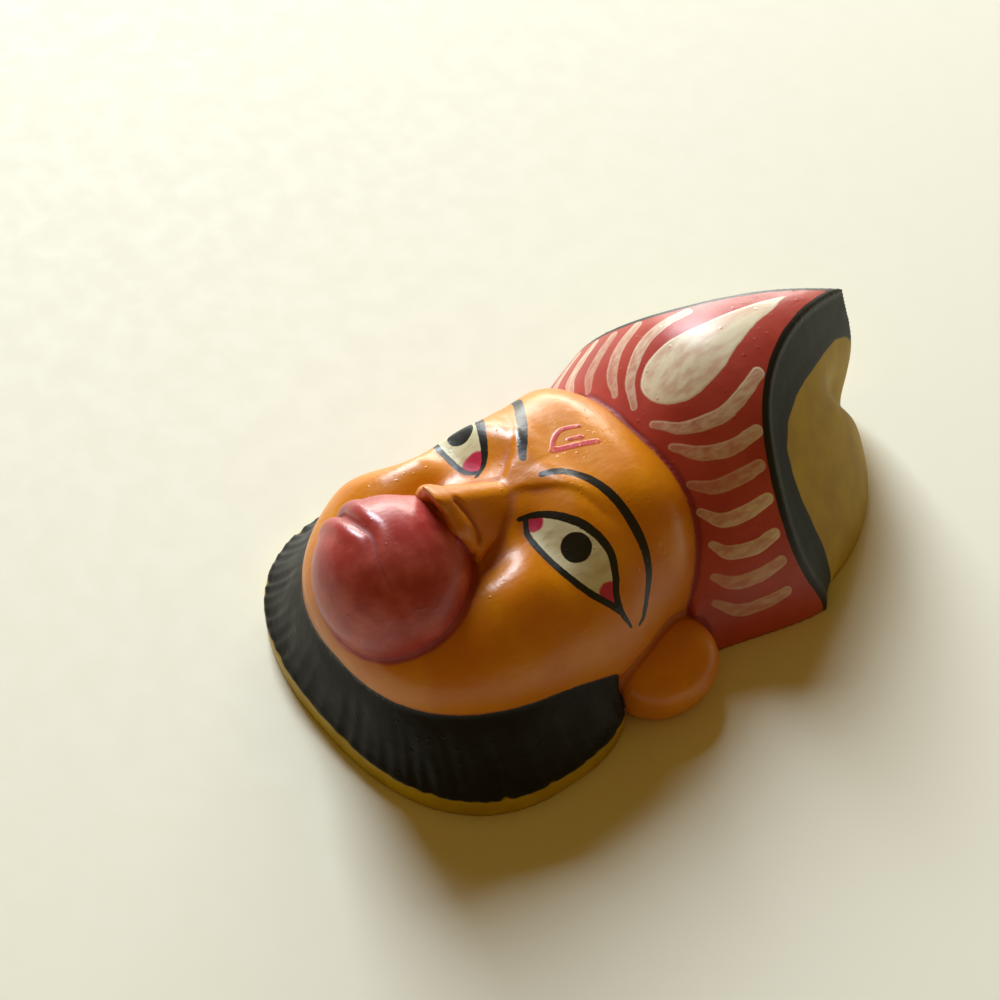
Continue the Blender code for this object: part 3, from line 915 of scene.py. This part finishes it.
class Paint:
    """Builds one enamel: a base colour, painted layers over it, and the brushed, dusty gloss on top."""

    def __init__(self, name):
        self.material = bpy.data.materials.new(name)
        self.material.use_nodes = True
        self.tree = self.material.node_tree
        self.shader = self.tree.nodes["Principled BSDF"]
        self.where = self.node("ShaderNodeTexCoord").outputs["Object"]

    def node(self, kind, **settings):
        made = self.tree.nodes.new(kind)
        for key, value in settings.items():
            setattr(made, key, value)
        return made

    def link(self, source, target):
        self.tree.links.new(source, target)

    def noise(self, size_mm, detail=2.0, stretch=(1, 1, 1), roughness=0.5):
        """Noise with features of about this size, drawn out along an axis where stretch is under 1."""
        place = self.node("ShaderNodeMapping")
        place.inputs["Scale"].default_value = stretch
        self.link(self.where, place.inputs["Vector"])
        made = self.node("ShaderNodeTexNoise")
        made.inputs["Scale"].default_value = 1000 / size_mm
        made.inputs["Detail"].default_value = detail
        made.inputs["Roughness"].default_value = roughness
        self.link(place.outputs["Vector"], made.inputs["Vector"])
        return made.outputs["Fac"]

    def maths(self, operation, first, second):
        made = self.node("ShaderNodeMath", operation=operation)
        for socket, value in zip(made.inputs, (first, second)):
            if isinstance(value, (int, float)):
                socket.default_value = value
            else:
                self.link(value, socket)
        return made.outputs[0]

    def ramp(self, value, low, high, to_low=0.0, to_high=1.0):
        made = self.node("ShaderNodeMapRange", interpolation_type="SMOOTHSTEP")
        self.link(value, made.inputs["Value"])
        made.inputs["From Min"].default_value = low
        made.inputs["From Max"].default_value = high
        made.inputs["To Min"].default_value = to_low
        made.inputs["To Max"].default_value = to_high
        return made.outputs["Result"]

    def attribute(self, name):
        return self.node("ShaderNodeAttribute", attribute_name=name).outputs["Fac"]

    def blend(self, factor, under, over):
        """One colour over another, each a socket or a colour as seen on screen."""
        made = self.node("ShaderNodeMix", data_type="RGBA")
        for socket, value in ((made.inputs[0], factor), (made.inputs[6], under), (made.inputs[7], over)):
            if isinstance(value, tuple):
                socket.default_value = linear(*value)
            else:
                self.link(value, socket)
        return made.outputs[2]

    def patchy(self, under, over, size_mm, detail, low=0.35, high=0.7, stretch=(1, 1, 1)):
        """One colour turning into another in soft patches of about this size."""
        return self.blend(self.ramp(self.noise(size_mm, detail, stretch), low, high), under, over)

    def pooled_and_shaded_creases(self, colour, deep, low=0.1, high=1.2, most=0.7):
        """The colour, with a deeper one in the hollows of the carving: paint pooled there, and painted
        shade.
        """
        return self.blend(self.ramp(self.attribute("cavity"), low, high, 0, most), colour, deep)

    def dulled(self, roughness):
        """The roughness, with the hollows duller than what hands rub."""
        return self.maths("MAXIMUM", roughness, self.ramp(self.attribute("cavity"), 0.15, 0.9, 0, 0.6))

    def mark(self, name, wobble=0.25, size_mm=2.5, soft=0.12):
        """Coverage of a painted mark, with the unsteady edge of a hand-held brush."""
        rough = self.maths("MULTIPLY", self.maths("SUBTRACT", self.noise(size_mm, 3), 0.5), 2 * wobble)
        return self.ramp(self.maths("ADD", self.attribute(name), rough), -soft, soft)

    def uneven(self, low, high, size_mm=9):
        return self.ramp(self.noise(size_mm, 3), 0.3, 0.7, low, high)

    def finish(self, colour, heights, roughness, gloss):
        """Ends the enamel with its colour, its bumps as (height, depth in mm) and its gloss."""
        self.link(colour, self.shader.inputs["Base Color"])
        self.link(roughness, self.shader.inputs["Roughness"])
        self.shader.inputs["Specular IOR Level"].default_value = gloss
        normal = None
        for height, depth in heights:
            bump = self.node("ShaderNodeBump")
            bump.inputs["Strength"].default_value = 1.0
            bump.inputs["Distance"].default_value = depth * MM
            self.link(height, bump.inputs["Height"])
            if normal is not None:
                self.link(normal, bump.inputs["Normal"])
            normal = bump.outputs["Normal"]
        self.link(normal, self.shader.inputs["Normal"])
        return self.material

    def nibs(self, size_mm, share):
        """Sparse grains of dust caught in the paint."""
        cells = self.node("ShaderNodeTexVoronoi")
        cells.inputs["Scale"].default_value = 1000 / size_mm
        self.link(self.where, cells.inputs["Vector"])
        chosen = self.node("ShaderNodeSeparateColor")
        self.link(cells.outputs["Color"], chosen.inputs["Color"])
        grain = self.ramp(cells.outputs["Distance"], 0.34, 0.0)
        return self.maths("MULTIPLY", grain, self.ramp(chosen.outputs["Red"], 1 - share, 1 - share + 0.02))


def face_paint():
    paint = Paint("orange_enamel")
    # The hollows of the carving get a deeper orange and red: paint pooled there, and painted shade
    colour = paint.pooled_and_shaded_creases(paint.patchy(ORANGE, ORANGE_PALE, 14, 3), ORANGE_POOLED_AND_SHADED)
    red = paint.pooled_and_shaded_creases(paint.patchy(MUZZLE_RED, MUZZLE_PINK, 9, 3, 0.4), MUZZLE_POOLED_AND_SHADED, 0.3, 1.4, 0.5)
    colour = paint.blend(paint.mark("muzzle_red", 0.9, 6, 0.5), colour, red)
    white = paint.patchy(EYE_WHITE, EYE_WORN, 2.4, 2, 0.45, 0.75, (1, 0.5, 1))
    colour = paint.blend(paint.mark("eye_white", 0.15), colour, white)
    colour = paint.blend(paint.mark("eye_rose", 0.5, 2.0, 0.35), colour, ROSE)
    worn = paint.ramp(paint.noise(1.6, 3), 0.25, 0.5)
    tilak = paint.maths("MULTIPLY", paint.mark("tilak", 0.45, 1.2, 0.3), worn)
    colour = paint.blend(tilak, colour, TILAK_ROSE)
    colour = paint.blend(paint.mark("ink", 0.18, 2.0, 0.1), colour, BLACK)
    # A band of the crown's deeper red over the face's seam with the crown: red paint, and painted shade in
    # that crease
    colour = paint.blend(paint.mark("by_crown", 0.1, 3, 0.12), colour, CROWN_RED_POOLED_AND_SHADED)
    colour = paint.blend(paint.mark("by_beard", 0.25, 3, 0.12), colour, BLACK)
    dusty = paint.ramp(paint.noise(11, 2), 0.42, 0.6)
    heights = [
        (paint.noise(6, 3), 0.22),
        (paint.noise(1.3, 3, (1, 0.35, 1)), 0.045),
        (paint.maths("MULTIPLY", paint.nibs(1.4, 0.4), dusty), 0.09),
        (paint.ramp(paint.attribute("tilak"), -0.3, 0.3), 0.09),
    ]
    return paint.finish(colour, heights, paint.dulled(paint.uneven(0.28, 0.38)), 0.5)


def crown_paint():
    paint = Paint("red_enamel")
    # The crown's hollows get a deeper red: paint pooled there, and painted shade
    colour = paint.pooled_and_shaded_creases(paint.patchy(CROWN_RED, CROWN_RED_DARK, 13, 3), CROWN_RED_POOLED_AND_SHADED)
    thin = paint.ramp(paint.noise(1.5, 2, (1, 0.12, 1)), 0.3, 0.7, 0.35, 0.75)
    cover = paint.maths("MAXIMUM", thin, paint.ramp(paint.attribute("strokes"), 0.7, 0.2, 0, 0.8))
    cover = paint.maths("MULTIPLY", cover, paint.attribute("thickness"))
    colour = paint.blend(paint.maths("MULTIPLY", paint.mark("strokes", 0.3, 3, 0.25), cover), colour, CREAM)
    body = paint.ramp(paint.noise(2.4, 2, (1, 0.14, 1)), 0.3, 0.65, 0.6, 0.95)
    cover = paint.maths("MAXIMUM", body, paint.ramp(paint.attribute("teardrop"), 1.2, 0.3, 0, 0.97))
    colour = paint.blend(paint.maths("MULTIPLY", paint.mark("teardrop", 0.3, 4, 0.25), cover), colour, CREAM)
    colour = paint.blend(paint.mark("stripe", 0.25, 5, 0.15), colour, BLACK)
    heights = [
        (paint.noise(8, 2), 0.16),
        (paint.noise(1.6, 3, (1, 0.3, 1)), 0.035),
        (paint.ramp(paint.attribute("strokes"), -0.2, 0.6), 0.05),
        (paint.ramp(paint.attribute("teardrop"), -0.2, 0.6), 0.06),
        (paint.nibs(2.0, 0.12), 0.09),
    ]
    edge = paint.ramp(paint.attribute("stripe"), -1.5, 0.5, 0, 0.42)
    worn = paint.maths("MAXIMUM", paint.uneven(0.34, 0.42), edge)
    return paint.finish(colour, heights, paint.dulled(worn), 0.4)


def end_paint():
    paint = Paint("end_enamel")
    colour = paint.patchy(RIM_GREEN, RIM_GREEN_DARK, 5, 3)
    colour = paint.blend(paint.ramp(paint.attribute("yellow"), -2.0, -4.5, 0.0, 0.8), RIM_EDGE, colour)
    colour = paint.blend(paint.ramp(paint.attribute("stripe"), 3.2, 1.8), colour, BLACK)
    yellow = paint.patchy(YELLOW, YELLOW_DEEP, 11, 3, 0.3)
    colour = paint.blend(paint.mark("yellow", 0.3, 6, 0.2), colour, yellow)
    heights = [
        (paint.noise(8, 2), 0.14),
        (paint.noise(1.5, 3, (1, 0.3, 1)), 0.03),
        (paint.nibs(2.0, 0.1), 0.08),
    ]
    return paint.finish(colour, heights, paint.ramp(paint.attribute("stripe"), 2.2, 4.5, 0.42, 0.62), 0.36)


def beard_paint():
    paint = Paint("black_enamel")
    colour = paint.patchy(BLACK, BEARD_GREY, 6, 3)
    yellow = paint.patchy(YELLOW, YELLOW_DEEP, 9, 3, 0.3)
    colour = paint.blend(paint.mark("yellow", 0.5, 5, 0.25), colour, yellow)
    heights = [(paint.noise(5, 3), 0.18), (paint.noise(1.2, 3), 0.05), (paint.nibs(2.0, 0.2), 0.12)]
    return paint.finish(colour, heights, paint.uneven(0.36, 0.5), 0.22)


def back_paint():
    """Thin yellow, worn through to the wood in places."""
    paint = Paint("yellow_enamel")
    colour = paint.patchy(YELLOW, YELLOW_DEEP, 12, 4, 0.3)
    wood_colour = paint.patchy(WOOD_PALE, WOOD_DARK, 3.5, 4, 0.3, 0.7, (1, 0.06, 1))
    bare = paint.ramp(paint.noise(10, 5, (1, 0.3, 1), 0.7), 0.56, 0.66, 0, 0.85)
    colour = paint.blend(bare, colour, wood_colour)
    heights = [(paint.noise(9, 2), 0.5), (paint.noise(1.5, 3, (1, 0.2, 1)), 0.08)]
    return paint.finish(colour, heights, paint.uneven(0.5, 0.7), 0.3)


def closeness(mesh_points, tree):
    return np.array([tree.find_nearest(Vector(p))[3] for p in mesh_points])


def form_tree(made):
    corners = [vertex.co for vertex in made.data.vertices]
    tree = BVHTree.FromPolygons(corners, [polygon.vertices for polygon in made.data.polygons])
    bpy.data.objects.remove(made, do_unlink=True)
    return tree


def cavity(points, edges, normals):
    """How far each point lies in a hollow of the surface, about 0 to 1."""
    wide = points
    for _ in range(CAVITY_ROUNDS):
        wide = averaged(wide, edges)
    return ((wide - points) * normals).sum(1) / MM * CAVITY_SCALE


def cut_out(mesh, keep, name, material, attributes):
    """The faces that are kept, as a piece of the scene with its painted marks."""
    used, index = np.unique(quads_of(mesh)[keep], return_inverse=True)
    part_mesh = bpy.data.meshes.new(name)
    part_mesh.from_pydata(points_of(mesh)[used].tolist(), [], index.reshape(-1, 4).tolist())
    for key, values in attributes.items():
        stored(part_mesh, key, values[used])
    part_mesh.shade_smooth()
    part_mesh.normals_split_custom_set_from_vertices(normals_of(mesh)[used].tolist())
    piece = bpy.data.objects.new(name, part_mesh)
    scene.collection.objects.link(piece)
    part_mesh.materials.append(material)
    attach(piece, "root")
    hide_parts("mask")
    return piece


def face_marks(points, tree):
    """The painted marks of the face, as distances inside each in millimetres."""
    mm = points / MM
    ink = np.full(len(mm), OUTSIDE)
    white = np.full(len(mm), OUTSIDE)
    rose = np.full(len(mm), OUTSIDE)
    for flip in (False, True):
        turned = mirrored if flip else list
        brow = (FAR_BROW, FAR_BROW_HALF) if flip else (BROW, BROW_HALF)
        for controls, halves in (brow, (turned(UPPER_LID), UPPER_HALF), (turned(LOWER_LID), LOWER_HALF)):
            path, widths = curve_through(controls, halves)
            ink = np.maximum(ink, stroke(mm, dropped(tree, path), widths))
        outline = turned(UPPER_LID[:UPPER_OVER_EYE] + LOWER_LID[::-1])
        inside = np.where(mm[:, 2] > PLAN_MARKS_Z, region(mm, outline), NOT_THERE)
        white = np.maximum(white, inside)
        pupil = dropped(tree, turned([PUPIL]))[0]
        ink = np.maximum(ink, PUPIL_HALF - np.linalg.norm(mm - pupil, axis=1))
        inner = dropped(tree, turned([INNER_CORNER]))[0]
        outer = dropped(tree, turned([OUTER_CORNER]))[0]
        by_inner = INNER_ROSE_HALF[flip] - np.linalg.norm(mm - inner, axis=1)
        by_outer = OUTER_ROSE_HALF - np.linalg.norm(mm - outer, axis=1)
        rose = np.maximum(rose, np.minimum(np.maximum(by_inner, by_outer), inside))
    tilak = np.full(len(mm), OUTSIDE)
    for controls, half in TILAK:
        path, widths = curve_through(controls, [half] * len(controls))
        tilak = np.maximum(tilak, stroke(mm, dropped(tree, path), widths))
    radii = (MUZZLE_HALF_WIDTH, MUZZLE_HALF_LENGTH, MUZZLE_HALF_DEPTH)
    away = np.linalg.norm((points - (0, MUZZLE_Y, MUZZLE_Z)) / radii, axis=1)
    red = MUZZLE_RED_REACH - (away - 1) * MUZZLE_RED_FADE
    return {"ink": ink, "eye_white": white, "eye_rose": rose, "tilak": tilak, "muzzle_red": red}


def crown_marks(points):
    """The painted marks of the crown, as distances inside each in millimetres."""
    mm = points / MM
    strokes = np.full(len(mm), OUTSIDE)
    thickness = np.full(len(mm), 0.5)
    for controls, opaque in zip(CROWN_STROKES, STROKE_COVER):
        steps = np.linspace(0, 1, len(STROKE_HALF))
        halves = np.interp(np.linspace(0, 1, len(controls)), steps, STROKE_HALF)
        for flip in (False, True):
            turned = [(1 - turn, y) for turn, y in controls] if flip else controls
            path, widths = curve_through(turned, halves)
            own = stroke(mm, on_crown(path), widths)
            along = (mm[:, 1] - controls[0][1]) / (controls[-1][1] - controls[0][1])
            cover = opaque * (STROKE_START_COVER + STROKE_COVER_GAIN * np.clip(along, 0, 1))
            thickness = np.where(own > strokes, cover, thickness)
            strokes = np.maximum(strokes, own)
    outline, _ = curve_through(TEARDROP + TEARDROP[:1], [0] * (len(TEARDROP) + 1), 5)
    teardrop = np.where(mm[:, 2] > PLAN_MARKS_Z, region(mm, outline[:-1]), NOT_THERE)
    across = np.abs(points[:, 0] - [lean(y) for y in points[:, 1]])
    front = points[:, 1] < [rim_y(x) for x in across]
    away = nearest_rim(mm)
    bevel_end = np.interp(across / MM, BEVEL_ACROSS, BEVEL_ALONG)
    marks = {
        "strokes": strokes,
        "thickness": thickness,
        "teardrop": teardrop,
        "stripe": STRIPE + np.where(front, -away, away),
        "yellow": np.where(front, UNDER_RIM, BEVEL_SLOPE * (mm[:, 1] - bevel_end)),
    }
    return marks, front


def add_window(name, place, size, power_w, colour):
    """A soft rectangle of light that looks at the mask."""
    data = bpy.data.lights.new(name, "AREA")
    data.shape = "RECTANGLE"
    data.size, data.size_y = size
    data.energy = power_w
    data.color = colour
    made = bpy.data.objects.new(name, data)
    made.location = place
    made.rotation_euler = (Vector(place) - Vector(LIT_POINT)).to_track_quat("Z", "Y").to_euler()
    scene.collection.objects.link(made)


def add_floor():
    bpy.ops.mesh.primitive_plane_add(size=FLOOR_SIZE, location=(0, 0, -FLOOR_GAP))
    floor = bpy.context.object
    floor.name = "floor"
    paint = Paint("floor_paper")
    tint = paint.patchy(FLOOR_PAPER, FLOOR_PAPER_WARM, 60, 3, 0.3)
    paper = paint.finish(tint, [(paint.noise(2.5, 4), 0.004)], paint.uneven(0.6, 0.7), 0.3)
    floor.data.materials.append(paper)


def add_room():
    """The dim, warm light of the room, which fills the shade."""
    room = bpy.data.worlds.new("room")
    room.use_nodes = True
    background = room.node_tree.nodes["Background"]
    background.inputs["Color"].default_value = SHADE_COLOUR
    background.inputs["Strength"].default_value = SHADE_STRENGTH
    scene.world = room


def add_camera():
    """The camera, looking down on the mask from beside its chin."""
    lens = bpy.data.cameras.new("camera")
    lens.lens = LENS_MM
    lens.sensor_width = 36
    camera = bpy.data.objects.new("camera", lens)
    level = math.cos(ELEVATION)
    back = Vector((math.sin(AZIMUTH) * level, -math.cos(AZIMUTH) * level, math.sin(ELEVATION)))
    camera.location = TARGET + back * DISTANCE
    camera.rotation_euler = back.to_track_quat("Z", "Y").to_euler()
    scene.collection.objects.link(camera)
    scene.camera = camera


# The wood, and how far each of its points lies from each form
trees = {
    "face": form_tree(face()),
    "crown": form_tree(crown()),
    "beard": form_tree(beard()),
    "nose": form_tree(nose()),
    "hollow": form_tree(hollow()),
    "near_ear": form_tree(ear(1)),
    "far_ear": form_tree(ear(-1)),
    "muzzle": form_tree(muzzle()),
}
wood = carved()
raw = points_of(wood)
names = [*trees, "flat"]
reach = np.stack([closeness(raw, tree) for tree in trees.values()] + [np.abs(raw[:, 2])])
quads = quads_of(wood)
owner = reach.argmin(0)[quads[:, 0]]
relaxed(wood, SANDING_ROUNDS)
edges = edges_of(wood)
for _ in range(SEAM_ROUNDS):
    reach = averaged(reach.T, edges).T
to_crown, to_beard, to_nose = (reach[names.index(name)] / MM for name in ("crown", "beard", "nose"))
points = rounded_nose(points_of(wood), edges, to_nose)
placed(wood, points)

# Painted marks, worked out before the finer carving moves the points
surface = BVHTree.FromPolygons(points.tolist(), quads.tolist())
face_painting = face_marks(points, surface)
off_nose = NOSE_BARE_FADE * (to_nose - NOSE_BARE)
face_painting["muzzle_red"] = np.minimum(face_painting["muzzle_red"], off_nose)
# The crown's red, in its darker shaded colour, lapping over the seam onto the face
face_painting["by_crown"] = CROWN_RED_OVERLAP - to_crown
face_painting["by_beard"] = BEARD_BLACK_OVERLAP - to_beard
crown_painting, in_front = crown_marks(points)
points = relief(points, normals_of(wood), surface)
placed(wood, points)
# How far each point lies in a hollow: it darkens the paint there, as pooled paint and painted shade, and
# dulls the gloss
hollows = {"cavity": cavity(points, edges, normals_of(wood))}
beard_painting = {"yellow": (BEARD_EDGE_Z - points[:, 2]) / MM - BEARD_YELLOW_EDGE}


def owned(*wanted):
    """Which faces of the wood lie nearest one of these forms."""
    return np.isin(owner, [names.index(name) for name in wanted])


# The painted pieces
is_face = owned("face", "nose", "muzzle", "near_ear", "far_ear")
skin = cut_out(wood, is_face, "painted_face", face_paint(), {**hollows, **face_painting})
fore = in_front[quads[:, 0]]
crest = cut_out(wood, owned("crown") & fore, "painted_crown", crown_paint(), {**hollows, **crown_painting})
rear = cut_out(wood, owned("crown") & ~fore, "crown_end", end_paint(), {**hollows, **crown_painting})
band = cut_out(wood, owned("beard"), "painted_beard", beard_paint(), {**hollows, **beard_painting})
back = cut_out(wood, owned("hollow", "flat"), "hollow_back", back_paint(), hollows)
bpy.data.meshes.remove(wood)

# Floor, light and camera
add_floor()
add_window("window_light", WINDOW_PLACE, WINDOW_SIZE, WINDOW_POWER, WINDOW_COLOUR)
add_window("low_light", LOW_PLACE, LOW_SIZE, LOW_POWER, LOW_COLOUR)
add_room()
add_camera()
scene.view_settings.view_transform = "Standard"
